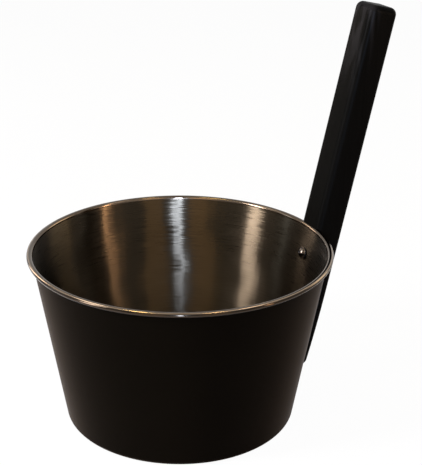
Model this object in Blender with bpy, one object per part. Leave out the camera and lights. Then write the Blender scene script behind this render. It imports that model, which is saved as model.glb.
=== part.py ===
"""Sauna bucket: a drawn steel bucket, coated black outside, with a wooden bar handle.

The bucket stands on the XY plane, centred on Z, and the handle rises on its +X side.
Two screws go from inside the bucket through its wall into threaded inserts in the handle.
All sizes are in metres.
"""

import math

import bmesh
import bpy
from mathutils import Vector

# Bucket: one sheet of stainless steel, drawn, with its edge curled outwards
RIM_DIAMETER = 0.240
BUCKET_HEIGHT = 0.1417
WALL_LEAN = math.radians(9.78)
SHEET = 0.0008
BASE_FILLET = 0.0055
BEAD_WIDTH = 0.0047
BEAD_HEIGHT = 0.0038
CURL_PAST_OUTERMOST = math.radians(125)

# Handle: one straight bar of wood that hooks over the rim and lies along the wall
HANDLE_LEAN = math.radians(12.7)
HANDLE_DEPTH = 0.0253
HANDLE_WIDTH = 0.0276
HANDLE_ABOVE_RIM = 0.1859
HANDLE_BELOW_RIM = 0.1215
HANDLE_FACE_INSET = 0.0036
HANDLE_EDGE_ROUND = 0.0056
TOE_LENGTH = 0.070
TOE_EASE = 0.0023

# Fixings: the upper screw's drop from the rim's top, the lower one's height above the
# handle's foot, and the sizes of what is on each screw
UPPER_SCREW_DROP = 0.0235
LOWER_SCREW_ABOVE_FOOT = 0.041
SCREW_DIAMETER = 0.004
SCREW_LENGTH = 0.016
SCREW_TIP_CHAMFER = 0.0006
HEAD_DIAMETER = 0.0078
HEAD_HEIGHT = 0.0022
HEAD_RIM = 0.0004
RECESS_SPAN = 0.0040
RECESS_SLOT = 0.0009
RECESS_DEPTH = 0.0012
WASHER_DIAMETER = 0.0098
WASHER_THICKNESS = 0.0006
SEAL_DIAMETER = 0.0092
SEAL_THICKNESS = 0.0005
INSERT_DIAMETER = 0.0064
INSERT_LENGTH = 0.010
INSERT_SINK = 0.0006

# Clearances: round a seated piece, between stacked pieces, and round a shank
SEAT_GAP = 0.0003
STACK_GAP = 0.0002
SHANK_GAP = 0.0003
HOLE_END_GAP = 0.0015

# How far a hole's cutter stands out of the wall, to either side
CUTTER_REACH = 0.005

# Facets, and the distance within which points are one
TURN_STEPS = 72
FILLET_STEPS = 6
CURL_STEPS = 16
BEVEL_STEPS = 5
TOE_STEPS = 7
SMALL_TURN_STEPS = 24
DOME_STEPS = 5
SMOOTH_UNDER = math.radians(35)
SAME_POINT = 1e-7

RIM_RADIUS = RIM_DIAMETER / 2
HALF_SHEET = SHEET / 2
# The curl's middle line is an ellipse, half the sheet inside the bead's outline.
CURL_A = BEAD_WIDTH / 2 - HALF_SHEET
CURL_B = BEAD_HEIGHT / 2 - HALF_SHEET
CURL_CENTRE = Vector((RIM_RADIUS - HALF_SHEET - CURL_A, BUCKET_HEIGHT - HALF_SHEET - CURL_B))
WALL_UP = Vector((math.sin(WALL_LEAN), math.cos(WALL_LEAN)))
WALL_OUT = Vector((math.cos(WALL_LEAN), -math.sin(WALL_LEAN)))
# The wall runs into the curl where the ellipse leans as the wall does.
CURL_START = math.pi - math.atan(CURL_B / CURL_A * math.tan(WALL_LEAN))


def curl_point(turn, grow=0.0):
    """The curl's middle line at an angle round its centre, or a line that far outside it."""
    across = (CURL_A + grow) * math.cos(turn)
    up = (CURL_B + grow) * math.sin(turn)
    return CURL_CENTRE + Vector((across, up))


def wall_radius(height, off_middle=0.0):
    """The radius of the wall's middle at a height, or of a line that far outside it."""
    start = curl_point(CURL_START) + WALL_OUT * off_middle
    return start.x - (start.y - height) * math.tan(WALL_LEAN)


def right_of(heading):
    return Vector((heading.y, -heading.x))


def sheet_middle():
    """Points and headings along the middle of the sheet, from the axis out and round the curl."""
    bend = BASE_FILLET - HALF_SHEET
    turn = math.pi / 2 - WALL_LEAN
    corner = wall_radius(HALF_SHEET)
    centre = Vector((corner - bend * math.tan(turn / 2), HALF_SHEET + bend))
    line = [(Vector((0.0, HALF_SHEET)), Vector((1.0, 0.0)))]
    for step in range(FILLET_STEPS + 1):
        angle = -math.pi / 2 + turn * step / FILLET_STEPS
        spoke = Vector((math.cos(angle), math.sin(angle)))
        line.append((centre + spoke * bend, Vector((-spoke.y, spoke.x))))
    for step in range(CURL_STEPS + 1):
        angle = CURL_START - (CURL_START + CURL_PAST_OUTERMOST) * step / CURL_STEPS
        heading = Vector((CURL_A * math.sin(angle), -CURL_B * math.cos(angle)))
        line.append((curl_point(angle), heading.normalized()))
    return line


def new_object(name, mesh_data, material):
    obj = bpy.data.objects.new(name, mesh_data)
    bpy.context.scene.collection.objects.link(obj)
    if material and not mesh_data.materials:
        mesh_data.materials.append(material)
    return obj


def finish_mesh(name, shape):
    """Turns a bmesh into a mesh with its faces out and its round parts smooth."""
    bmesh.ops.recalc_face_normals(shape, faces=shape.faces)
    mesh_data = bpy.data.meshes.new(name)
    shape.to_mesh(mesh_data)
    shape.free()
    mesh_data.shade_smooth()
    mesh_data.set_sharp_from_angle(angle=SMOOTH_UNDER)
    return mesh_data


def turned_mesh(name, outline, steps, closed=False):
    """Spins an outline of (radius, height) points round Z. An open one starts and ends on the axis."""
    shape = bmesh.new()
    verts = [shape.verts.new((point[0], 0.0, point[1])) for point in outline]
    edges = [shape.edges.new(pair) for pair in zip(verts, verts[1:])]
    if closed:
        edges.append(shape.edges.new((verts[-1], verts[0])))
    bmesh.ops.spin(
        shape,
        geom=verts + edges,
        cent=(0, 0, 0),
        axis=(0, 0, 1),
        angle=2 * math.pi,
        steps=steps,
        use_merge=True,
    )
    bmesh.ops.remove_doubles(shape, verts=shape.verts, dist=SAME_POINT)
    return finish_mesh(name, shape)


def rod_mesh(name, radius, bottom, top):
    """A plain cylinder along Z between two heights."""
    outline = [(0.0, bottom), (radius, bottom), (radius, top), (0.0, top)]
    return turned_mesh(name, outline, SMALL_TURN_STEPS)


def ring_mesh(name, inner, outer, bottom, top):
    """A flat ring or a tube along Z between two heights."""
    outline = [(inner, bottom), (outer, bottom), (outer, top), (inner, top)]
    return turned_mesh(name, outline, SMALL_TURN_STEPS, closed=True)


def new_material(name, colour, roughness, metallic):
    material = bpy.data.materials.new(name)
    material.use_nodes = True
    shader = material.node_tree.nodes["Principled BSDF"]
    shader.inputs["Base Color"].default_value = (*colour, 1.0)
    shader.inputs["Roughness"].default_value = roughness
    shader.inputs["Metallic"].default_value = metallic
    return material


def hide_cutter(obj):
    obj.hide_render = True
    obj.display_type = "WIRE"


def cut(obj, cutter):
    """Takes the cutter's shape out of an object."""
    modifier = obj.modifiers.new("cut_" + cutter.name, "BOOLEAN")
    modifier.operation = "DIFFERENCE"
    modifier.object = cutter


def make_bucket(steel, coat):
    """The sheet's two skins: the under and outer one is coated, the upper and inner one is bare."""
    line = sheet_middle()
    outer_skin = [point + right_of(heading) * HALF_SHEET for point, heading in line]
    inner_skin = [point - right_of(heading) * HALF_SHEET for point, heading in line]
    mesh_data = turned_mesh("bucket_body", outer_skin + inner_skin[::-1], TURN_STEPS)
    mesh_data.materials.append(steel)
    mesh_data.materials.append(coat)
    under_curl = CURL_CENTRE.y - CURL_B
    for face in mesh_data.polygons:
        radius = math.hypot(face.center.x, face.center.y)
        below = face.normal.z < 0 and face.center.z < under_curl
        outside = radius > wall_radius(face.center.z) or face.center.z < HALF_SHEET
        face.material_index = 1 if below and outside else 0
    return new_object("bucket_body", mesh_data, None)


def make_seat_cutter():
    """The room that the bucket takes in the handle: its wall and bead, with the seat's gap round them."""
    skin = HALF_SHEET + SEAT_GAP
    below_all = -HANDLE_BELOW_RIM
    outline = [(0.0, below_all), (wall_radius(below_all, skin), below_all)]
    for step in range(CURL_STEPS + 1):
        turn = -CURL_PAST_OUTERMOST + (CURL_PAST_OUTERMOST + math.pi / 2) * step / CURL_STEPS
        point = curl_point(turn, skin)
        if point.x > wall_radius(point.y, skin):
            outline.append(tuple(point))
    outline.append((0.0, BUCKET_HEIGHT + SEAT_GAP))
    cutter = new_object("seat_cutter", turned_mesh("seat_cutter", outline, TURN_STEPS), None)
    hide_cutter(cutter)
    return cutter


def make_handle(wood):
    """A bar drawn from the side, as wide as the handle, with all its edges rounded."""
    up = Vector((math.sin(HANDLE_LEAN), math.cos(HANDLE_LEAN)))
    out = Vector((math.cos(HANDLE_LEAN), -math.sin(HANDLE_LEAN)))
    rim_point = Vector((RIM_RADIUS - HANDLE_FACE_INSET, BUCKET_HEIGHT))
    side = [(HANDLE_ABOVE_RIM, 0.0), (HANDLE_ABOVE_RIM, HANDLE_DEPTH)]
    toe_start = TOE_LENGTH - HANDLE_BELOW_RIM
    for step in range(TOE_STEPS + 1):
        share = step / TOE_STEPS
        side.append((toe_start - TOE_LENGTH * share, HANDLE_DEPTH - TOE_EASE * share**2))
    side.append((-HANDLE_BELOW_RIM, 0.0))
    shape = bmesh.new()
    points = [rim_point + up * along + out * deep for along, deep in side]
    verts = [shape.verts.new((point.x, -HANDLE_WIDTH / 2, point.y)) for point in points]
    face = shape.faces.new(verts)
    extruded = bmesh.ops.extrude_face_region(shape, geom=[face])["geom"]
    moved = [part for part in extruded if isinstance(part, bmesh.types.BMVert)]
    bmesh.ops.translate(shape, verts=moved, vec=(0.0, HANDLE_WIDTH, 0.0))
    handle = new_object("handle", finish_mesh("handle", shape), wood)
    rounding = handle.modifiers.new("rounding", "BEVEL")
    rounding.width = HANDLE_EDGE_ROUND
    rounding.segments = BEVEL_STEPS
    rounding.limit_method = "ANGLE"
    return handle


def fixing_point(height):
    """The middle of a fixing on the wall's inner skin."""
    return Vector((wall_radius(height, -HALF_SHEET), 0.0, height))


def make_fixing_frame(name, height):
    """An empty on the wall's inner skin, with its Z along the screw, into the bucket."""
    frame = bpy.data.objects.new(name, None)
    bpy.context.scene.collection.objects.link(frame)
    frame.location = fixing_point(height)
    frame.rotation_euler = (0.0, WALL_LEAN - math.pi / 2, 0.0)
    frame.empty_display_size = HEAD_DIAMETER
    return frame


def screw_mesh():
    """A round-headed machine screw. Its head's underside is at zero and its shank points down."""
    shank = SCREW_DIAMETER / 2
    head = HEAD_DIAMETER / 2
    dome = HEAD_HEIGHT - HEAD_RIM
    bend = (head**2 + dome**2) / (2 * dome)
    half_turn = math.asin(head / bend)
    outline = [
        (0.0, -SCREW_LENGTH),
        (shank - SCREW_TIP_CHAMFER, -SCREW_LENGTH),
        (shank, SCREW_TIP_CHAMFER - SCREW_LENGTH),
        (shank, 0.0),
        (head, 0.0),
    ]
    for step in range(DOME_STEPS + 1):
        angle = half_turn * (1 - step / DOME_STEPS)
        outline.append((bend * math.sin(angle), HEAD_HEIGHT - bend * (1 - math.cos(angle))))
    return turned_mesh("screw", outline, SMALL_TURN_STEPS)


def recess_mesh():
    """A cross, as deep as the driver goes, standing well above the head."""
    shape = bmesh.new()
    arm = RECESS_SPAN / 2
    half = RECESS_SLOT / 2
    corners = [(half, half), (half, arm), (-half, arm)]
    ring = []
    for quarter in range(4):
        turn = math.pi / 2 * quarter
        for across, along in corners:
            x = across * math.cos(turn) - along * math.sin(turn)
            y = across * math.sin(turn) + along * math.cos(turn)
            ring.append(shape.verts.new((x, y, HEAD_HEIGHT - RECESS_DEPTH)))
    face = shape.faces.new(ring)
    extruded = bmesh.ops.extrude_face_region(shape, geom=[face])["geom"]
    moved = [part for part in extruded if isinstance(part, bmesh.types.BMVert)]
    bmesh.ops.translate(shape, verts=moved, vec=(0.0, 0.0, RECESS_DEPTH + HEAD_HEIGHT))
    return finish_mesh("recess", shape)


def make_fixing(place, height, shared, materials, bucket, handle):
    """One screw with its washer, seal and insert, and the holes that they need."""
    frame = make_fixing_frame(place + "_fixing", height)
    washer_bottom = SEAT_GAP + SEAL_THICKNESS + STACK_GAP
    head_bottom = washer_bottom + WASHER_THICKNESS + STACK_GAP
    for piece in ("screw", "washer", "seal", "insert"):
        obj = new_object(f"{place}_{piece}", shared[piece], materials[piece])
        obj.parent = frame
        obj.location.z = head_bottom if piece == "screw" else 0.0
    recess = new_object(place + "_recess_cutter", shared["recess"], None)
    recess.parent = frame
    recess.location.z = head_bottom
    hide_cutter(recess)
    cut(bpy.data.objects[place + "_screw"], recess)

    shank = SCREW_DIAMETER / 2 + SHANK_GAP
    bore = INSERT_DIAMETER / 2 + SHANK_GAP
    bore_end = head_bottom - SCREW_LENGTH - HOLE_END_GAP
    holes = (
        ("wall_hole", bucket, shank, -SHEET - CUTTER_REACH),
        ("wood_hole", handle, bore, bore_end),
    )
    for hole, owner, radius, bottom in holes:
        cutter = new_object(
            f"{place}_{hole}_cutter", rod_mesh(hole, radius, bottom, CUTTER_REACH), None
        )
        cutter.parent = frame
        hide_cutter(cutter)
        cut(owner, cutter)


def shared_fixing_meshes():
    shank = SCREW_DIAMETER / 2 + SHANK_GAP
    seal_bottom = SEAT_GAP
    washer_bottom = seal_bottom + SEAL_THICKNESS + STACK_GAP
    insert_top = -SHEET - SEAT_GAP - INSERT_SINK
    return {
        "screw": screw_mesh(),
        "washer": ring_mesh(
            "washer", shank, WASHER_DIAMETER / 2, washer_bottom, washer_bottom + WASHER_THICKNESS
        ),
        "seal": ring_mesh("seal", shank, SEAL_DIAMETER / 2, seal_bottom, seal_bottom + SEAL_THICKNESS),
        "insert": ring_mesh("insert", shank, INSERT_DIAMETER / 2, insert_top - INSERT_LENGTH, insert_top),
        "recess": recess_mesh(),
    }


for old in list(bpy.data.objects):
    bpy.data.objects.remove(old, do_unlink=True)

stainless = new_material("stainless_steel", (0.55, 0.53, 0.50), 0.28, 1.0)
black_coat = new_material("black_coat", (0.018, 0.016, 0.014), 0.45, 0.0)
black_wood = new_material("black_wood", (0.013, 0.012, 0.012), 0.40, 0.0)
black_rubber = new_material("black_rubber", (0.020, 0.020, 0.020), 0.70, 0.0)
brass = new_material("brass", (0.60, 0.44, 0.18), 0.35, 1.0)
fixing_materials = {"screw": stainless, "washer": stainless, "seal": black_rubber, "insert": brass}

bucket_body = make_bucket(stainless, black_coat)
bar_handle = make_handle(black_wood)
cut(bar_handle, make_seat_cutter())
fixing_meshes = shared_fixing_meshes()
handle_foot = BUCKET_HEIGHT - HANDLE_BELOW_RIM * math.cos(HANDLE_LEAN)
fixing_heights = {
    "upper": BUCKET_HEIGHT - UPPER_SCREW_DROP,
    "lower": handle_foot + LOWER_SCREW_ABOVE_FOOT,
}
for fixing_place, fixing_height in fixing_heights.items():
    make_fixing(
        fixing_place, fixing_height, fixing_meshes, fixing_materials, bucket_body, bar_handle
    )
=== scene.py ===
import math

import bmesh
import bpy
from mathutils import Matrix, Vector


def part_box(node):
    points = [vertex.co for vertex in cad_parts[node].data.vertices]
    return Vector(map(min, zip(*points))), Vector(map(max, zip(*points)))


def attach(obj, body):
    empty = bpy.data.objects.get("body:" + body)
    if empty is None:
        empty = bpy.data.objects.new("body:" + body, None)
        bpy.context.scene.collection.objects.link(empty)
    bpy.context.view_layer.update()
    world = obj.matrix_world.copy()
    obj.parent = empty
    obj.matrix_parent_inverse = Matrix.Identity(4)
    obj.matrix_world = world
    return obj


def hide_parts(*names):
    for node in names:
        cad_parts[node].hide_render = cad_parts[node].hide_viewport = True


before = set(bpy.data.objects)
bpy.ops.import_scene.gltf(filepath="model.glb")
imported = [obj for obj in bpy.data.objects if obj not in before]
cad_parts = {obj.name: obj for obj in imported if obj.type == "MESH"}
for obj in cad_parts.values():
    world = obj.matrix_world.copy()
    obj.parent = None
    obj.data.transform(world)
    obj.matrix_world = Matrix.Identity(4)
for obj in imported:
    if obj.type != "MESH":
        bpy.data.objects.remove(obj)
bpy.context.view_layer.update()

# The bucket's body is one sheet of stainless steel, drawn into a tapered cup, with its edge curled
# outwards into a rim bead. It is bare inside, where it is brushed round and round, and on the bead,
# which is rolled and polished.
_, body_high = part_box("bucket_body")
RIM_RADIUS = body_high.x
BUCKET_HEIGHT = body_high.z
WALL_LEAN = math.radians(9.78)
SHEET = 0.0008
BASE_ROUND = 0.0055
BEAD_WIDTH = 0.0047
BEAD_HEIGHT = 0.0038
CURL_PAST_OUTERMOST = math.radians(125)
POLISH_DOWN = 0.0008
COAT = 0.00012
COAT_BACKING = 0.00002
COAT_INTO_CREASE = 0.0006
TURN_STEPS = 288
ROUND_STEPS = 14
CURL_STEPS = 44
MERGE_WITHIN = 1e-6
PATH_RADIUS = 0.1
SMOOTH_UNDER = math.radians(32)

# The steels' colours are far darker and browner than bare steel, and the bead's is warm and golden:
# painted reflection of dark, warm surroundings, under the lines that brushing leaves.
BRUSHED_DARK = (0.068, 0.052, 0.034)
BRUSHED_LIGHT = (0.082, 0.063, 0.043)
BRUSHED_ROUGHNESS = (0.26, 0.30)
BRUSHED_ROUGHER_LOW = 0.02
BRUSHED_STRETCH = 1.0
QUARTER_TURN = 0.25
BEAD_DARK = (0.42, 0.31, 0.215)
BEAD_LIGHT = (0.58, 0.43, 0.305)
BEAD_ROUGHNESS = (0.10, 0.16)

# The noises behind each finish: how many finer layers they have, and how strong those are
BROAD_DETAIL = 1.0
EVEN_DETAIL = 2.0
FINE_DETAIL = 3.0
EVEN_SHARE = 0.5
FINE_SHARE = 0.6
NOISE_MIDDLE = 0.5
BRUSH_LINES_PER_METRE = 1300.0
BRUSH_LINES_ROUND = 5.0
LINE_MASK_RANGE = (0.3, 0.7)
WAVES_PER_METRE = 24.0
DRAW_BANDS_ROUND = 9.0
DRAW_BANDS_DOWN = 0.004
# How far the lines, the waves and the bands sway the surface, in radians
NO_SWAY = {"Line Sway": 0.0, "Wave Sway": 0.0, "Band Sway": 0.0}
WALL_SWAY = {"Line Sway": 0.105, "Wave Sway": 0.16, "Band Sway": 0.10}
BEAD_SWAY = {"Line Sway": 0.0, "Wave Sway": 0.1, "Band Sway": 0.0}
# Painted light and shade on the wall: how light it is, as shares of its colour, at depths below the
# rim, darker near the rim and lighter lower down
WALL_PAINTED_LIGHT_BANDS = ((0.140, 1.0), (0.075, 1.0), (0.032, 0.66), (0.0, 0.62))
# Painted reflection on the bead: how light it is, as shares of its colour, at angles in degrees up
# from its outermost line, a bright line and dark lines for the light and dark surroundings it mirrors
BEAD_PAINTED_REFLECTION_BANDS = (
    (160, 0.20),
    (112, 0.17),
    (92, 0.14),
    (74, 0.20),
    (64, 0.40),
    (56, 0.75),
    (48, 0.40),
    (40, 0.14),
    (30, 0.03),
    (18, 0.04),
    (0, 0.09),
    (-16, 0.07),
    (-30, 0.02),
    (-120, 0.02),
)

half_sheet = SHEET / 2
curl_across = BEAD_WIDTH / 2 - half_sheet
curl_up = BEAD_HEIGHT / 2 - half_sheet
curl_centre = Vector((RIM_RADIUS - half_sheet - curl_across, BUCKET_HEIGHT - half_sheet - curl_up))
wall_out = Vector((math.cos(WALL_LEAN), -math.sin(WALL_LEAN)))
curl_start = math.pi - math.atan(curl_up / curl_across * math.tan(WALL_LEAN))
coat_top = curl_centre.y - curl_up - half_sheet + COAT_INTO_CREASE


def curl_point(turn):
    """The curl's middle line at an angle round its centre."""
    return curl_centre + Vector((curl_across * math.cos(turn), curl_up * math.sin(turn)))


def wall_point(height, off_middle):
    """A point of the wall at a height, off the sheet's middle by a distance, outwards."""
    start = curl_point(curl_start) + wall_out * off_middle
    return Vector((start.x - (start.y - height) * math.tan(WALL_LEAN), height))


def base_line(off_middle):
    """The floor and the round corner above it, off the sheet's middle by a distance, outwards."""
    bend = BASE_ROUND - half_sheet
    turn = math.pi / 2 - WALL_LEAN
    corner = wall_point(half_sheet, 0.0).x
    centre = Vector((corner - bend * math.tan(turn / 2), half_sheet + bend))
    points = [Vector((0.0, half_sheet - off_middle))]
    for step in range(ROUND_STEPS + 1):
        angle = -math.pi / 2 + turn * step / ROUND_STEPS
        points.append(centre + Vector((math.cos(angle), math.sin(angle))) * (bend + off_middle))
    return points


def curl_line(off_middle):
    """The curl from the wall's top to the sheet's free edge, off its middle by a distance, outwards."""
    points = []
    for step in range(CURL_STEPS + 1):
        angle = curl_start - (curl_start + CURL_PAST_OUTERMOST) * step / CURL_STEPS
        heading = Vector((curl_across * math.sin(angle), -curl_up * math.cos(angle))).normalized()
        points.append(curl_point(angle) + Vector((heading.y, -heading.x)) * off_middle)
    return points


def add_node(tree, kind, inputs=None, **settings):
    """A node with its settings. Its inputs are values, or other nodes' outputs to link."""
    made = tree.nodes.new(kind)
    for key, value in settings.items():
        setattr(made, key, value)
    for key, value in (inputs or {}).items():
        if isinstance(value, bpy.types.NodeSocket):
            tree.links.new(value, made.inputs[key])
        else:
            made.inputs[key].default_value = value
    return made


def maths(tree, operation, *values):
    """The result of a Math node on numbers or other nodes' outputs."""
    return add_node(tree, "ShaderNodeMath", dict(enumerate(values)), operation=operation).outputs[0]


def vectors(tree, operation, *values, **named):
    """The result of a Vector Math node on vectors or other nodes' outputs."""
    inputs = {**dict(enumerate(values)), **named}
    return add_node(tree, "ShaderNodeVectorMath", inputs, operation=operation).outputs[0]


def ranged(tree, value, given=(0.0, 1.0), wanted=(0.0, 1.0), **settings):
    """A value taken from one range into another, and kept inside it."""
    inputs = {"Value": value, "From Min": given[0], "From Max": given[1]}
    inputs.update({"To Min": wanted[0], "To Max": wanted[1]})
    return add_node(tree, "ShaderNodeMapRange", inputs, **settings).outputs["Result"]


def noise(tree, place, scale, detail, share=EVEN_SHARE):
    """How strong a noise is at a place."""
    inputs = {"Vector": place, "Scale": scale, "Detail": detail, "Roughness": share}
    return add_node(tree, "ShaderNodeTexNoise", inputs).outputs["Fac"]


def object_place(tree):
    """The place of the point that is shaded, in the object's own coordinates."""
    return add_node(tree, "ShaderNodeTexCoord").outputs["Object"]


def turning_tree():
    """Turns an outline of edges, given as (radius, height), round Z, and keeps the length along it."""
    tree = bpy.data.node_groups.new("turned_form", "GeometryNodeTree")
    tree.interface.new_socket("Geometry", in_out="INPUT", socket_type="NodeSocketGeometry")
    for name, kind in (
        ("Steps", "NodeSocketInt"),
        ("Path Radius", "NodeSocketFloat"),
        ("Merge Within", "NodeSocketFloat"),
        ("Finish", "NodeSocketMaterial"),
        ("Second Finish", "NodeSocketMaterial"),
        ("Second From", "NodeSocketFloat"),
    ):
        tree.interface.new_socket(name, in_out="INPUT", socket_type=kind)
    tree.interface.new_socket("Geometry", in_out="OUTPUT", socket_type="NodeSocketGeometry")
    given = add_node(tree, "NodeGroupInput").outputs
    outline = add_node(tree, "GeometryNodeMeshToCurve", {"Mesh": given["Geometry"]})
    length = add_node(tree, "GeometryNodeSplineParameter")
    marked = add_node(
        tree,
        "GeometryNodeStoreNamedAttribute",
        {"Geometry": outline.outputs["Curve"], "Name": "along", "Value": length.outputs["Length"]},
        data_type="FLOAT",
        domain="POINT",
    )
    inwards = maths(tree, "MULTIPLY", given["Path Radius"], -1.0)
    shift = add_node(tree, "ShaderNodeCombineXYZ", {"X": inwards})
    profile = add_node(
        tree,
        "GeometryNodeSetPosition",
        {"Geometry": marked.outputs["Geometry"], "Offset": shift.outputs[0]},
    )
    path = add_node(
        tree,
        "GeometryNodeCurvePrimitiveCircle",
        {"Resolution": given["Steps"], "Radius": given["Path Radius"]},
    )
    upright = add_node(
        tree, "GeometryNodeSetCurveNormal", {"Curve": path.outputs["Curve"]}, mode="Z_UP"
    )
    swept = add_node(
        tree,
        "GeometryNodeCurveToMesh",
        {"Curve": upright.outputs["Curve"], "Profile Curve": profile.outputs["Geometry"]},
    )
    merged = add_node(
        tree,
        "GeometryNodeMergeByDistance",
        {"Geometry": swept.outputs["Mesh"], "Distance": given["Merge Within"]},
    )
    whole = add_node(tree, "GeometryNodeRealizeInstances", {"Geometry": merged.outputs["Geometry"]})
    first = add_node(
        tree,
        "GeometryNodeSetMaterial",
        {"Geometry": whole.outputs["Geometry"], "Material": given["Finish"]},
    )
    place = add_node(tree, "GeometryNodeInputNamedAttribute", {"Name": "along"}, data_type="FLOAT")
    beyond = add_node(
        tree,
        "FunctionNodeCompare",
        {0: place.outputs["Attribute"], 1: given["Second From"]},
        data_type="FLOAT",
        operation="GREATER_THAN",
    )
    second = add_node(
        tree,
        "GeometryNodeSetMaterial",
        {
            "Geometry": first.outputs["Geometry"],
            "Selection": beyond.outputs["Result"],
            "Material": given["Second Finish"],
        },
    )
    add_node(tree, "NodeGroupOutput", {"Geometry": second.outputs["Geometry"]})
    return tree


turned_form = turning_tree()


def plain_mesh(obj):
    """Makes what an object's modifiers show its own mesh, with its faces out and its rounds smooth."""
    evaluated = obj.evaluated_get(bpy.context.evaluated_depsgraph_get())
    mesh = bpy.data.meshes.new_from_object(evaluated)
    obj.modifiers.clear()
    obj.data = mesh
    shape = bmesh.new()
    shape.from_mesh(mesh)
    bmesh.ops.remove_doubles(shape, verts=shape.verts, dist=MERGE_WITHIN)
    bmesh.ops.recalc_face_normals(shape, faces=shape.faces)
    shape.to_mesh(mesh)
    shape.free()
    mesh.shade_smooth()
    mesh.set_sharp_from_angle(angle=SMOOTH_UNDER)
    mesh.name = obj.name
    return obj


def linked(name, data):
    """An object in the scene, at the origin, with its mesh, lens or light."""
    obj = bpy.data.objects.new(name, data)
    bpy.context.scene.collection.objects.link(obj)
    return obj


def turned(name, outline, steps, finish, second_finish=None, second_from=0.0, closed=False):
    """A piece turned from (radius, height) points by turned_form. A closed outline makes a ring."""
    mesh = bpy.data.meshes.new(name)
    edges = [(step, step + 1) for step in range(len(outline) - 1)]
    if closed:
        edges.append((len(outline) - 1, 0))
    mesh.from_pydata([(point[0], -point[1], 0.0) for point in outline], edges, [])
    obj = linked(name, mesh)
    modifier = obj.modifiers.new("turned_form", "NODES")
    modifier.node_group = turned_form
    values = {
        "Steps": steps,
        "Path Radius": PATH_RADIUS,
        "Merge Within": MERGE_WITHIN,
        "Finish": finish,
        "Second Finish": second_finish or finish,
        "Second From": second_from,
    }
    for item in turned_form.interface.items_tree:
        if item.in_out == "INPUT" and item.name in values:
            modifier[item.identifier] = values[item.name]
    return plain_mesh(obj)


def new_material(name):
    """A material with a bare Principled BSDF, and that shader."""
    material = bpy.data.materials.new(name)
    material.use_nodes = True
    return material, material.node_tree, material.node_tree.nodes["Principled BSDF"]


def mixed_colour(tree, factor, first, second, blend_type="MIX"):
    """A colour mixed from two. Each is three numbers, or another node's output."""
    mix = add_node(tree, "ShaderNodeMix", {0: factor}, data_type="RGBA", blend_type=blend_type)
    sockets = [socket for socket in mix.inputs if socket.type == "RGBA"]
    for socket, colour in zip(sockets, (first, second)):
        if isinstance(colour, bpy.types.NodeSocket):
            tree.links.new(colour, socket)
        else:
            socket.default_value = (*colour, 1.0)
    return [socket for socket in mix.outputs if socket.type == "RGBA"][0]


def round_place(tree, round_scale, along_scale, along):
    """Where a point lies round Z and along the outline, so that a pattern runs round without a seam."""
    flat = vectors(tree, "MULTIPLY", object_place(tree), (1.0, 1.0, 0.0))
    spoke = vectors(tree, "NORMALIZE", flat)
    wide = vectors(tree, "SCALE", spoke, Scale=round_scale)
    lift = add_node(tree, "ShaderNodeCombineXYZ", {"Z": maths(tree, "MULTIPLY", along, along_scale)})
    return vectors(tree, "ADD", wide, lift.outputs[0])


def new_group(name, inputs, outputs):
    """A shader node group with named inputs and outputs, and its input node's sockets."""
    group = bpy.data.node_groups.new(name, "ShaderNodeTree")
    for socket_name, kind, value in inputs:
        socket = group.interface.new_socket(socket_name, in_out="INPUT", socket_type=kind)
        socket.default_value = value
    for socket_name, kind in outputs:
        group.interface.new_socket(socket_name, in_out="OUTPUT", socket_type=kind)
    return group, add_node(group, "NodeGroupInput").outputs


def turning_lines_group():
    """Fine lines that run round a turned or brushed piece: a mask, and a normal that sways from line
    to line, with the broad waves that rolling leaves in the sheet and the bands that drawing leaves."""
    group, given = new_group(
        "turning_lines",
        [
            ("Along", "NodeSocketFloat", 0.0),
            ("Lines", "NodeSocketFloat", BRUSH_LINES_PER_METRE),
            ("Line Sway", "NodeSocketFloat", 0.0),
            ("Waves", "NodeSocketFloat", WAVES_PER_METRE),
            ("Wave Sway", "NodeSocketFloat", 0.0),
            ("Band Sway", "NodeSocketFloat", 0.0),
        ],
        [("Mask", "NodeSocketFloat"), ("Normal", "NodeSocketVector")],
    )
    up = maths(group, "MULTIPLY", given["Along"], given["Lines"])
    line_place = round_place(group, BRUSH_LINES_ROUND, 1.0, up)
    band_place = round_place(group, DRAW_BANDS_ROUND, DRAW_BANDS_DOWN, up)
    spot = object_place(group)
    lines = noise(group, line_place, 1.0, FINE_DETAIL, FINE_SHARE)
    waves = noise(group, spot, given["Waves"], BROAD_DETAIL)
    bands = noise(group, band_place, 1.0, EVEN_DETAIL)
    sways = []
    for level, amount in ((lines, "Line Sway"), (waves, "Wave Sway"), (bands, "Band Sway")):
        from_middle = maths(group, "SUBTRACT", level, NOISE_MIDDLE)
        sways.append(maths(group, "MULTIPLY", from_middle, given[amount]))
    sway = maths(group, "ADD", maths(group, "ADD", sways[0], sways[1]), sways[2])
    sideways = vectors(group, "NORMALIZE", vectors(group, "CROSS_PRODUCT", (0.0, 0.0, 1.0), spot))
    face = add_node(group, "ShaderNodeNewGeometry").outputs["Normal"]
    leaning = vectors(group, "ADD", face, vectors(group, "SCALE", sideways, Scale=sway))
    mask = ranged(group, lines, LINE_MASK_RANGE)
    normal = vectors(group, "NORMALIZE", leaning)
    add_node(group, "NodeGroupOutput", {"Mask": mask, "Normal": normal})
    return group


turning_lines = turning_lines_group()


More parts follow.
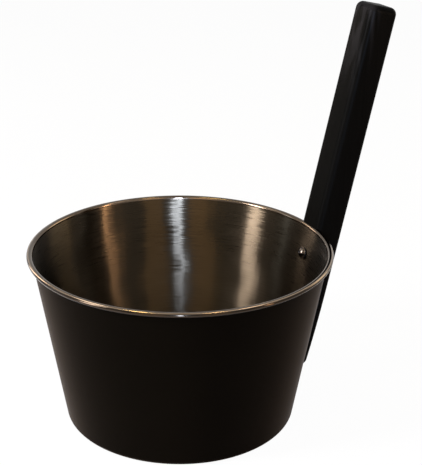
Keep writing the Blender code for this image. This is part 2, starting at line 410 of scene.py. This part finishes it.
def steel(name, dark, light, roughness, stretch=0.0, sways=NO_SWAY, bands=(), rougher=0.0):
    """Bare steel with turning lines in its colour, roughness and surface. Bands are places along the
    outline, with the share of the colour that is seen there: painted light, shade and reflection along
    the piece. It is rougher where more is seen."""
    material, tree, shader = new_material(name)
    along = add_node(tree, "ShaderNodeAttribute", attribute_name="along").outputs["Fac"]
    lines = add_node(tree, "ShaderNodeGroup", {"Along": along, **sways}, node_tree=turning_lines)
    colour = mixed_colour(tree, lines.outputs["Mask"], dark, light)
    dull = ranged(tree, lines.outputs["Mask"], wanted=roughness)
    # The bands paint light, shade and reflection onto the steel's colour.
    if bands:
        first, last = bands[0][0], bands[-1][0]
        painted_light_ramp = add_node(tree, "ShaderNodeValToRGB", {"Fac": ranged(tree, along, (first, last))})
        stops = painted_light_ramp.color_ramp.elements
        stops.remove(stops[1])
        stops[0].color = (*(bands[0][1],) * 3, 1.0)
        for place, lightness in bands[1:]:
            stops.new((place - first) / (last - first)).color = (*(lightness,) * 3, 1.0)
        colour = mixed_colour(tree, 1.0, colour, painted_light_ramp.outputs["Color"], "MULTIPLY")
        darkest = min(lightness for _, lightness in bands)
        more = ranged(tree, painted_light_ramp.outputs["Color"], (darkest, 1.0), (0.0, rougher))
        dull = maths(tree, "ADD", dull, more)
    round_z = add_node(tree, "ShaderNodeTangent", direction_type="RADIAL", axis="Z")
    tree.links.new(colour, shader.inputs["Base Color"])
    tree.links.new(dull, shader.inputs["Roughness"])
    tree.links.new(lines.outputs["Normal"], shader.inputs["Normal"])
    tree.links.new(round_z.outputs["Tangent"], shader.inputs["Tangent"])
    shader.inputs["Metallic"].default_value = 1.0
    shader.inputs["Anisotropic"].default_value = stretch
    shader.inputs["Anisotropic Rotation"].default_value = QUARTER_TURN
    return material


wall_top = wall_point(curl_point(curl_start).y - POLISH_DOWN, -half_sheet)
inner_skin = base_line(-half_sheet) + [wall_top] + curl_line(-half_sheet)


def along_skin(points):
    """The length of the bare skin from the axis over its first points."""
    return sum((b - a).length for a, b in zip(inner_skin[: points - 1], inner_skin[1:points]))


def along_curl(degrees):
    """The length of the bare skin from the axis to an angle up from the curl's outermost line."""
    share = (curl_start - math.radians(degrees)) / (curl_start + CURL_PAST_OUTERMOST)
    return along_skin(len(inner_skin) - CURL_STEPS + round(share * CURL_STEPS))


bead_from = along_skin(ROUND_STEPS + 3)
brushed_steel = steel(
    "brushed_steel",
    BRUSHED_DARK,
    BRUSHED_LIGHT,
    BRUSHED_ROUGHNESS,
    stretch=BRUSHED_STRETCH,
    sways=WALL_SWAY,
    bands=[(bead_from - depth / math.cos(WALL_LEAN), share) for depth, share in WALL_PAINTED_LIGHT_BANDS],
    rougher=BRUSHED_ROUGHER_LOW,
)
polished_bead = steel(
    "polished_bead",
    BEAD_DARK,
    BEAD_LIGHT,
    BEAD_ROUGHNESS,
    sways=BEAD_SWAY,
    bands=[(along_curl(degrees), share) for degrees, share in BEAD_PAINTED_REFLECTION_BANDS],
)
under_coat = half_sheet - COAT - COAT_BACKING
outer_skin = base_line(under_coat)
outer_skin += [wall_point(coat_top, under_coat), wall_point(coat_top, half_sheet)]
outer_skin += curl_line(half_sheet)
whole_skin = inner_skin + outer_skin[::-1]
sheet_steel = turned(
    "steel_sheet", whole_skin, TURN_STEPS, brushed_steel, polished_bead, bead_from
)
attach(sheet_steel, "root")
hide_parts("bucket_body")

# The black coat is baked onto the outside of the sheet, from the middle of the base up into the
# crease under the bead. It is satin, with the faint orange peel of a sprayed powder.
COAT_DARK = (0.0008, 0.0006, 0.0004)
COAT_LIGHT = (0.0013, 0.0010, 0.0006)
COAT_ROUGHNESS = (0.42, 0.50)
COAT_PATCHES_PER_METRE = 18.0
COAT_SHINE = 0.0045
# The warm tint of the coat's gloss and its brown sheen are a painted reflection: they give its edges
# the brown of warm surroundings.
COAT_PAINTED_REFLECTION_TINT = (1.0, 0.80, 0.58)
COAT_PAINTED_SHEEN = 0.075
COAT_SHEEN_ROUGHNESS = 0.35
COAT_PAINTED_SHEEN_TINT = (1.0, 0.72, 0.48)
PEEL_PER_METRE = 900.0
PEEL_DEPTH = 0.000012


def uneven_gloss_group():
    """Gloss that changes over a surface: a mask of its patches, and the roughness that they give."""
    group, given = new_group(
        "uneven_gloss",
        [
            ("Patches", "NodeSocketFloat", COAT_PATCHES_PER_METRE),
            ("Smoothest", "NodeSocketFloat", COAT_ROUGHNESS[0]),
            ("Roughest", "NodeSocketFloat", COAT_ROUGHNESS[1]),
        ],
        [("Mask", "NodeSocketFloat"), ("Roughness", "NodeSocketFloat")],
    )
    patches = noise(group, object_place(group), given["Patches"], EVEN_DETAIL)
    dull = ranged(group, patches, wanted=(given["Smoothest"], given["Roughest"]))
    add_node(group, "NodeGroupOutput", {"Mask": patches, "Roughness": dull})
    return group


uneven_gloss = uneven_gloss_group()


def gloss_in(tree, patches, roughness):
    """A material's own uneven gloss: the outputs of the group with its values."""
    values = {"Patches": patches, "Smoothest": roughness[0], "Roughest": roughness[1]}
    return add_node(tree, "ShaderNodeGroup", values, node_tree=uneven_gloss).outputs


def uneven_surface(tree, height, depth):
    """The normal of a surface that a noise raises by a depth."""
    bump = add_node(tree, "ShaderNodeBump", {"Height": height, "Distance": depth, "Strength": 1.0})
    return bump.outputs["Normal"]


def coat_material():
    """The satin black powder coat, with a painted brown sheen and a warm gloss tint that give its edges
    the reflection of warm surroundings.
    """
    material, tree, shader = new_material("baked_coat")
    peel = noise(tree, object_place(tree), PEEL_PER_METRE, EVEN_DETAIL)
    gloss = gloss_in(tree, COAT_PATCHES_PER_METRE, COAT_ROUGHNESS)
    colour = mixed_colour(tree, gloss["Mask"], COAT_DARK, COAT_LIGHT)
    tree.links.new(colour, shader.inputs["Base Color"])
    tree.links.new(gloss["Roughness"], shader.inputs["Roughness"])
    tree.links.new(uneven_surface(tree, peel, PEEL_DEPTH), shader.inputs["Normal"])
    shader.inputs["Specular IOR Level"].default_value = COAT_SHINE
    shader.inputs["Specular Tint"].default_value = (*COAT_PAINTED_REFLECTION_TINT, 1.0)
    shader.inputs["Sheen Weight"].default_value = COAT_PAINTED_SHEEN
    shader.inputs["Sheen Roughness"].default_value = COAT_SHEEN_ROUGHNESS
    shader.inputs["Sheen Tint"].default_value = (*COAT_PAINTED_SHEEN_TINT, 1.0)
    return material


coat_outer = base_line(half_sheet) + [wall_point(coat_top, half_sheet)]
coat_inner = base_line(half_sheet - COAT) + [wall_point(coat_top, half_sheet - COAT)]
coat = turned("black_coat", coat_outer + coat_inner[::-1], TURN_STEPS, coat_material())
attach(coat, "root")
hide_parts("bucket_body")

# The handle is one straight bar of fine-grained wood, stained black, with all its edges rounded.
# It hooks over the bead by a notch, lies along the wall in a hollowed seat, and its outer face
# eases in towards the foot.
handle_low, handle_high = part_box("handle")
HANDLE_WIDTH = handle_high.y - handle_low.y
HANDLE_DEPTH = 0.0253
HANDLE_LEAN = math.radians(12.7)
HANDLE_ABOVE_RIM = 0.1859
HANDLE_BELOW_RIM = 0.1215
HANDLE_FACE_INSET = 0.0036
HANDLE_EDGE_ROUND = 0.0056
TOE_LENGTH = 0.070
TOE_EASE = 0.0023
TOE_STEPS = 8
EDGE_STEPS = 8
SEAT_GAP = 0.0003
SEAT_STEPS = 288

WOOD_DARK = (0.0006, 0.0006, 0.0005)
WOOD_LIGHT = (0.0018, 0.0016, 0.0013)
WOOD_ROUGHNESS = (0.42, 0.50)
WOOD_PATCHES_PER_METRE = 30.0
WOOD_SHINE = 0.0095
GRAIN_ACROSS = 900.0
GRAIN_ALONG = 30.0
GRAIN_DEPTH = 0.00005
# The stain is rubbed where a hand holds the bar, and the lighter patch is also a painted highlight
# on the top of its inner face: at these heights, and this deep from its inner face
WOOD_WEAR_AND_HIGHLIGHT = (0.0080, 0.0074, 0.0074)
WEAR_AND_HIGHLIGHT_HEIGHTS = (0.24, 0.33)
WEAR_AND_HIGHLIGHT_DEEP = 0.011
WEAR_AND_HIGHLIGHT_PATCHES = 0.2
WEAR_AND_HIGHLIGHT_PATCH_RANGE = (0.4, 0.6)
WORN_SMOOTHER = 0.12

handle_up = Vector((math.sin(HANDLE_LEAN), math.cos(HANDLE_LEAN)))
handle_out = Vector((math.cos(HANDLE_LEAN), -math.sin(HANDLE_LEAN)))
rim_point = Vector((RIM_RADIUS - HANDLE_FACE_INSET, BUCKET_HEIGHT))


def wood_material():
    """Black-stained wood: grain along the bar in the stain and the surface, an uneven gloss, and a
    smoother, lighter part where a hand holds it: rubbed wear and a painted highlight at the top of
    the inner face."""
    material, tree, shader = new_material("stained_wood")
    place = object_place(tree)
    upright = add_node(
        tree,
        "ShaderNodeMapping",
        {
            "Vector": place,
            "Rotation": (0.0, -HANDLE_LEAN, 0.0),
            "Scale": (GRAIN_ACROSS, GRAIN_ACROSS, GRAIN_ALONG),
        },
    ).outputs["Vector"]
    grain = noise(tree, upright, 1.0, FINE_DETAIL, FINE_SHARE)
    stain = mixed_colour(tree, grain, WOOD_DARK, WOOD_LIGHT)
    level = add_node(tree, "ShaderNodeSeparateXYZ", {"Vector": place}).outputs["Z"]
    high = ranged(tree, level, WEAR_AND_HIGHLIGHT_HEIGHTS, interpolation_type="SMOOTHSTEP")
    depth = add_node(
        tree,
        "ShaderNodeVectorMath",
        {0: place, 1: (handle_out.x, 0.0, handle_out.y)},
        operation="DOT_PRODUCT",
    ).outputs["Value"]
    inner_face = rim_point.dot(handle_out)
    under_thumb_and_lit = ranged(tree, depth, (inner_face, inner_face + WEAR_AND_HIGHLIGHT_DEEP), (1.0, 0.0))
    rubbed_and_lit = ranged(tree, noise(tree, upright, WEAR_AND_HIGHLIGHT_PATCHES, BROAD_DETAIL), WEAR_AND_HIGHLIGHT_PATCH_RANGE)
    held_and_lit = maths(tree, "MULTIPLY", high, under_thumb_and_lit)
    # Lighter towards the top of the inner face: rubbed wear and a painted highlight.
    wear_and_highlight = maths(tree, "MULTIPLY", held_and_lit, rubbed_and_lit)
    gloss = gloss_in(tree, WOOD_PATCHES_PER_METRE, WOOD_ROUGHNESS)
    dull = maths(tree, "MULTIPLY_ADD", high, -WORN_SMOOTHER, gloss["Roughness"])
    tree.links.new(mixed_colour(tree, wear_and_highlight, stain, WOOD_WEAR_AND_HIGHLIGHT), shader.inputs["Base Color"])
    tree.links.new(dull, shader.inputs["Roughness"])
    tree.links.new(uneven_surface(tree, grain, GRAIN_DEPTH), shader.inputs["Normal"])
    shader.inputs["Specular IOR Level"].default_value = WOOD_SHINE
    return material


def extruded(name, corners, along):
    """A mesh of the face between some corners, extruded by a vector."""
    shape = bmesh.new()
    face = shape.faces.new([shape.verts.new(corner) for corner in corners])
    grown = bmesh.ops.extrude_face_region(shape, geom=[face])["geom"]
    moved = [part for part in grown if isinstance(part, bmesh.types.BMVert)]
    bmesh.ops.translate(shape, verts=moved, vec=along)
    bmesh.ops.recalc_face_normals(shape, faces=shape.faces)
    mesh = bpy.data.meshes.new(name)
    shape.to_mesh(mesh)
    shape.free()
    return mesh


def handle_side():
    """The bar's side before its edges are rounded. Its corners are set along the bar and through it."""
    side = [(HANDLE_ABOVE_RIM, 0.0), (HANDLE_ABOVE_RIM, HANDLE_DEPTH)]
    for step in range(TOE_STEPS + 1):
        share = step / TOE_STEPS
        outer = HANDLE_DEPTH - TOE_EASE * share**2
        side.append((TOE_LENGTH * (1 - share) - HANDLE_BELOW_RIM, outer))
    side.append((-HANDLE_BELOW_RIM, 0.0))
    return [rim_point + handle_up * along + handle_out * deep for along, deep in side]


def seat_line():
    """The outline of what the handle's seat is hollowed for: the wall and the bead, with a gap."""
    skin = half_sheet + SEAT_GAP
    bottom = -HANDLE_BELOW_RIM
    points = [Vector((0.0, bottom)), wall_point(bottom, skin)]
    for step in range(CURL_STEPS + 1):
        turn = -CURL_PAST_OUTERMOST + (CURL_PAST_OUTERMOST + math.pi / 2) * step / CURL_STEPS
        over = Vector(((curl_across + skin) * math.cos(turn), (curl_up + skin) * math.sin(turn)))
        point = curl_centre + over
        if point.x > wall_point(point.y, skin).x:
            points.append(point)
    points.append(Vector((0.0, BUCKET_HEIGHT + SEAT_GAP)))
    return points


def cut_out(obj, name, cutter):
    """Cuts a cutter's shape out of an object."""
    cut = obj.modifiers.new(name, "BOOLEAN")
    cut.operation = "DIFFERENCE"
    cut.object = cutter
    plain_mesh(obj)


bar_mesh = extruded(
    "wooden_handle",
    [(corner.x, -HANDLE_WIDTH / 2, corner.y) for corner in handle_side()],
    (0.0, HANDLE_WIDTH, 0.0),
)
bar_mesh.materials.append(wood_material())
handle = linked("wooden_handle", bar_mesh)
rounding = handle.modifiers.new("rounding", "BEVEL")
rounding.width = HANDLE_EDGE_ROUND
rounding.segments = EDGE_STEPS
rounding.limit_method = "ANGLE"
seat = turned("seat_cutter", seat_line(), SEAT_STEPS, bar_mesh.materials[0])
cut_out(handle, "seat", seat)
bpy.data.objects.remove(seat)
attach(handle, "root")
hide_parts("handle")

# Two machine screws hold the handle from inside the bucket. Each has a domed steel head with a cross
# recess, on a plain washer over a thin rubber seal, and its shank goes through the wall into a
# threaded brass insert in the wood.
SCREW_DIAMETER = 0.004
SCREW_LENGTH = 0.016
SCREW_TIP_CHAMFER = 0.0006
HEAD_DIAMETER = 0.0078
HEAD_HEIGHT = 0.0022
HEAD_RIM = 0.0004
HEAD_RIM_ROUND = 0.00015
RECESS_SPAN = 0.0040
RECESS_SLOT = 0.0009
RECESS_DEPTH = 0.0012
WASHER_DIAMETER = 0.0098
WASHER_THICKNESS = 0.0006
WASHER_EDGE = 0.00018
SEAL_DIAMETER = 0.0092
SEAL_THICKNESS = 0.0005
SEAL_EDGE = 0.00024
STACK_GAP = 0.0002
SHANK_GAP = 0.0003
FIXING_STEPS = 96
DOME_STEPS = 20

# The screw's and washer's colours are darker and browner than bare steel: painted reflection of dark,
# warm surroundings.
SCREW_DARK = (0.050, 0.041, 0.034)
SCREW_LIGHT = (0.080, 0.066, 0.055)
SCREW_ROUGHNESS = (0.09, 0.15)
WASHER_DARK = (0.13, 0.100, 0.075)
WASHER_LIGHT = (0.19, 0.150, 0.115)
WASHER_ROUGHNESS = (0.22, 0.30)
SEAL_COLOUR = (0.006, 0.006, 0.006)
SEAL_ROUGHNESS = (0.6, 0.8)
SEAL_GRAINS_PER_METRE = 2500.0
BRASS_COLOUR = (0.55, 0.40, 0.16)
BRASS_ROUGHNESS = (0.25, 0.4)
BRASS_GRAINS_PER_METRE = 1500.0


def plain_finish(name, colour, roughness, metallic, grains):
    """A small part's finish: one colour with a fine, even grain in its gloss."""
    material, tree, shader = new_material(name)
    tree.links.new(gloss_in(tree, grains, roughness)["Roughness"], shader.inputs["Roughness"])
    shader.inputs["Base Color"].default_value = (*colour, 1.0)
    shader.inputs["Metallic"].default_value = metallic
    return material


def ring_outline(inner, outer, bottom, top, edge):
    """A flat ring's outline with round edges."""
    points = []
    for corner in range(4):
        side = outer - edge if corner < 2 else inner + edge
        level = top - edge if corner in (1, 2) else bottom + edge
        for step in range(EDGE_STEPS + 1):
            turn = math.pi / 2 * (corner - 1 + step / EDGE_STEPS)
            points.append((side + edge * math.cos(turn), level + edge * math.sin(turn)))
    return points


def screw_outline():
    """Half the screw from its tip to its dome's top. Its head's underside is at zero."""
    shank = SCREW_DIAMETER / 2
    head = HEAD_DIAMETER / 2
    points = [
        (0.0, -SCREW_LENGTH),
        (shank - SCREW_TIP_CHAMFER, -SCREW_LENGTH),
        (shank, SCREW_TIP_CHAMFER - SCREW_LENGTH),
        (shank, 0.0),
        (head - HEAD_RIM_ROUND, 0.0),
        (head, HEAD_RIM_ROUND),
    ]
    dome = HEAD_HEIGHT - HEAD_RIM
    bend = (head**2 + dome**2) / (2 * dome)
    for step in range(DOME_STEPS + 1):
        turn = math.asin(head / bend) * (1 - step / DOME_STEPS)
        points.append((bend * math.sin(turn), HEAD_HEIGHT - bend * (1 - math.cos(turn))))
    return points


def cross_recess():
    """The cutter for the cross in a screw's head, with straight sides and a flat bottom."""
    slot_end = RECESS_SPAN / RECESS_SLOT
    ring = []
    for quarter in range(4):
        turn = Matrix.Rotation(math.pi / 2 * quarter, 3, "Z")
        for across, along in ((1, 1), (1, slot_end), (-1, slot_end)):
            corner = turn @ Vector((across, along, 0.0)) * RECESS_SLOT / 2
            ring.append((corner.x, corner.y, HEAD_HEIGHT - RECESS_DEPTH))
    upwards = (0.0, 0.0, RECESS_DEPTH + HEAD_HEIGHT)
    return linked("recess_cutter", extruded("recess_cutter", ring, upwards))


screw_steel = steel("screw_steel", SCREW_DARK, SCREW_LIGHT, SCREW_ROUGHNESS)
washer_steel = steel("washer_steel", WASHER_DARK, WASHER_LIGHT, WASHER_ROUGHNESS)
seal_rubber = plain_finish("seal_rubber", SEAL_COLOUR, SEAL_ROUGHNESS, 0.0, SEAL_GRAINS_PER_METRE)
turned_brass = plain_finish("turned_brass", BRASS_COLOUR, BRASS_ROUGHNESS, 1.0, BRASS_GRAINS_PER_METRE)
hole = SCREW_DIAMETER / 2 + SHANK_GAP
washer_half = WASHER_THICKNESS / 2
seal_top = -washer_half - STACK_GAP
washer_ring = ring_outline(hole, WASHER_DIAMETER / 2, -washer_half, washer_half, WASHER_EDGE)
seal_ring = ring_outline(hole, SEAL_DIAMETER / 2, seal_top - SEAL_THICKNESS, seal_top, SEAL_EDGE)
recess = cross_recess()
for where in ("upper", "lower"):
    screw = turned(f"{where}_screw_fine", screw_outline(), FIXING_STEPS, screw_steel)
    cut_out(screw, "recess", recess)
    screw.data.transform(Matrix.Translation((0.0, 0.0, washer_half + STACK_GAP)))
    washer = turned(f"{where}_washer_fine", washer_ring, FIXING_STEPS, washer_steel, closed=True)
    seal = turned(f"{where}_seal_fine", seal_ring, FIXING_STEPS, seal_rubber, closed=True)
    washer_low, washer_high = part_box(f"{where}_washer")
    into_bucket = Matrix.Rotation(WALL_LEAN - math.pi / 2, 4, "Y")
    to_place = Matrix.Translation((Vector(washer_low) + Vector(washer_high)) / 2) @ into_bucket
    for piece, kind, slot in (
        (screw, "screw", "stainless_steel"),
        (washer, "washer", "stainless_steel"),
        (seal, "seal", "black_rubber"),
    ):
        piece.data.transform(to_place)
        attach(piece, "root")
        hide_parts(f"{where}_{kind}")
    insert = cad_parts[f"{where}_insert"]
    insert.data.materials.clear()
    insert.data.materials.append(turned_brass)
bpy.data.objects.remove(recess)

# The camera stands where the photograph was taken from, which the outlines of the rim, the base and
# the handle gave. It looks a little down on the bucket.
CAMERA_PLACE = Vector((-0.3566, -0.7936, 0.5054))
CAMERA_HEADING = math.radians(25.764)
CAMERA_PITCH = math.radians(21.968)
CAMERA_ROLL = math.radians(0.683)
FOCAL_PIXELS = 1200.0
PHOTO_LONG_SIDE = 465.0
SENSOR = 36.0

ahead = Vector(
    (
        math.sin(CAMERA_HEADING) * math.cos(CAMERA_PITCH),
        math.cos(CAMERA_HEADING) * math.cos(CAMERA_PITCH),
        -math.sin(CAMERA_PITCH),
    )
)
level_right = Vector((math.cos(CAMERA_HEADING), -math.sin(CAMERA_HEADING), 0.0))
level_up = level_right.cross(ahead)
camera_right = level_right * math.cos(CAMERA_ROLL) + level_up * math.sin(CAMERA_ROLL)
camera_up = level_up * math.cos(CAMERA_ROLL) - level_right * math.sin(CAMERA_ROLL)
lens = bpy.data.cameras.new("camera")
lens.sensor_width = SENSOR
lens.lens = FOCAL_PIXELS * SENSOR / PHOTO_LONG_SIDE
camera = linked("camera", lens)
camera.matrix_world = Matrix.Translation(CAMERA_PLACE) @ Matrix(
    (camera_right, camera_up, -ahead)
).transposed().to_4x4()
bpy.context.scene.camera = camera

# The lamps stand round the bucket, out of the camera's sight. Three tall strips make the bright
# streaks on the steel, weak wide ones its brown and its edges, and high ones the bead's bright line.
LAMP_DISTANCE = 1.5
LAMPS = (
    ("left_strip", 67, 23, 0.33, 1.05, (1.0, 0.97, 1.0), 50.0),
    ("front_strip", 0, 14, 0.07, 0.70, (0.47, 0.64, 1.0), 205.0),
    ("right_strip", -65, 16, 0.05, 0.80, (1.0, 0.66, 0.42), 76.0),
    ("left_glow", 20, 25, 0.50, 1.15, (1.0, 0.66, 0.30), 2.6),
    ("right_glow", -23, 25, 0.50, 1.15, (1.0, 0.68, 0.32), 2.1),
    ("left_side", 99, 17, 0.20, 0.84, (0.70, 0.85, 1.0), 4.4),
    ("left_back", 130, 17, 0.26, 0.84, (1.0, 0.85, 0.72), 9.0),
    ("right_back", -118, 15, 0.62, 0.84, (1.0, 0.84, 0.60), 4.2),
    ("left_high", 109, 56, 0.55, 0.35, (1.0, 0.97, 0.94), 5.0),
    ("right_high", -100, 63, 0.30, 0.30, (1.0, 0.90, 0.80), 5.5),
    ("left_gold", 79, 75, 0.18, 0.18, (1.0, 0.80, 0.34), 30.0),
    ("right_gold", -72, 77, 0.15, 0.15, (1.0, 0.76, 0.40), 24.0),
)


def lamp_facing(name, turn, rise, width, height, colour, radiance):
    """A lamp that faces the bucket, turned in degrees from the camera towards the left, and raised."""
    heading = math.atan2(CAMERA_PLACE.y, CAMERA_PLACE.x) - math.radians(turn)
    up = math.radians(rise)
    away = Vector((math.cos(heading) * math.cos(up), math.sin(heading) * math.cos(up), math.sin(up)))
    data = bpy.data.lights.new(name, "AREA")
    data.shape = "RECTANGLE"
    data.size = width
    data.size_y = height
    data.color = colour
    data.energy = radiance * math.pi * width * height
    lamp = linked(name, data)
    lamp.location = Vector((0.0, 0.0, BUCKET_HEIGHT)) + away * LAMP_DISTANCE
    lamp.rotation_euler = away.to_track_quat("Z", "Y").to_euler()
    lamp.visible_camera = False


for lamp_values in LAMPS:
    lamp_facing(*lamp_values)

# The floor is a pale, matt disc that the bucket stands on. The camera sees it nearly white, with a
# faint shadow.
FLOOR_RADIUS = 6.0
FLOOR_SIDES = 96
FLOOR_DROP = 0.0002
FLOOR_COLOUR = (0.6, 0.6, 0.6)
FLOOR_ROUGHNESS = 0.9
FLOOR_GLOW = 0.96
WHITE = (1.0, 1.0, 1.0, 1.0)

floor_mesh = bpy.data.meshes.new("floor")
floor_shape = bmesh.new()
bmesh.ops.create_circle(floor_shape, cap_ends=True, segments=FLOOR_SIDES, radius=FLOOR_RADIUS)
bmesh.ops.translate(floor_shape, verts=floor_shape.verts, vec=(0.0, 0.0, -FLOOR_DROP))
floor_shape.to_mesh(floor_mesh)
floor_shape.free()
floor = linked("floor", floor_mesh)
floor_paint, floor_tree, floor_shader = new_material("floor")
floor_shader.inputs["Base Color"].default_value = (*FLOOR_COLOUR, 1.0)
floor_shader.inputs["Roughness"].default_value = FLOOR_ROUGHNESS
floor_shader.inputs["Specular IOR Level"].default_value = 0.0
glow = add_node(floor_tree, "ShaderNodeEmission", {"Color": WHITE, "Strength": 1.0})
rays = add_node(floor_tree, "ShaderNodeLightPath")
seen_by_camera = maths(floor_tree, "MULTIPLY", rays.outputs["Is Camera Ray"], FLOOR_GLOW)
blend = add_node(
    floor_tree,
    "ShaderNodeMixShader",
    {0: seen_by_camera, 1: floor_shader.outputs[0], 2: glow.outputs[0]},
)
floor_tree.links.new(blend.outputs[0], floor_tree.nodes["Material Output"].inputs["Surface"])
floor_mesh.materials.append(floor_paint)

# The studio round the bucket gives a soft, even light, and it is white where the camera sees it or
# the metal mirrors it.
SOFT_LIGHT = 0.25

world = bpy.data.worlds.new("studio")
bpy.context.scene.world = world
world.use_nodes = True
sky = world.node_tree
for old in list(sky.nodes):
    sky.nodes.remove(old)
paths = add_node(sky, "ShaderNodeLightPath").outputs
seen_or_mirrored = maths(sky, "MAXIMUM", paths["Is Camera Ray"], paths["Is Glossy Ray"])
shown_white = maths(sky, "MAXIMUM", seen_or_mirrored, paths["Is Transmission Ray"])
soft = add_node(sky, "ShaderNodeBackground", {"Color": WHITE, "Strength": SOFT_LIGHT})
white = add_node(sky, "ShaderNodeBackground", {"Color": WHITE, "Strength": 1.0})
either = add_node(
    sky, "ShaderNodeMixShader", {0: shown_white, 1: soft.outputs[0], 2: white.outputs[0]}
)
add_node(sky, "ShaderNodeOutputWorld", {"Surface": either.outputs[0]})

bpy.context.scene.view_settings.view_transform = "Standard"
